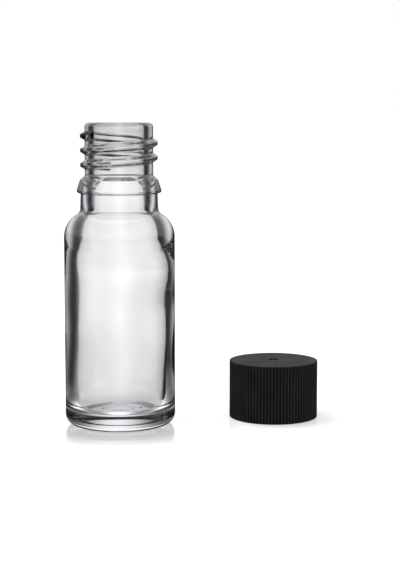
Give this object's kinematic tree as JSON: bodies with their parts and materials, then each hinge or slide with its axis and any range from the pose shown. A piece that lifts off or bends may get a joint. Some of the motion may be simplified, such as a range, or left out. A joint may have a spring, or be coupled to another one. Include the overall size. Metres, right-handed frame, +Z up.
{
  "type": "glass screw vial with cap",
  "caption": "Clear glass sample vial with a screw neck, tamper bead and thick base; its black ribbed screw cap with sealing liner stands beside it, taken off.",
  "frame": {"origin": "centre of the ring that the vial stands on", "axes": "+Z up along the vial's axis, out of its mouth; +X to the side where the cap stands; -Y is the front"},
  "size_m": [0.059, 0.0306, 0.0695],
  "materials": {
    "clear_glass": "clear, fire-polished",
    "black_plastic": "satin moulding",
    "white_liner": "matt foam"
  },
  "bodies": {
    "root": {"vial": "clear_glass", "screw_cap": "black_plastic", "cap_liner": "white_liner"}
  },
  "joints": []
}
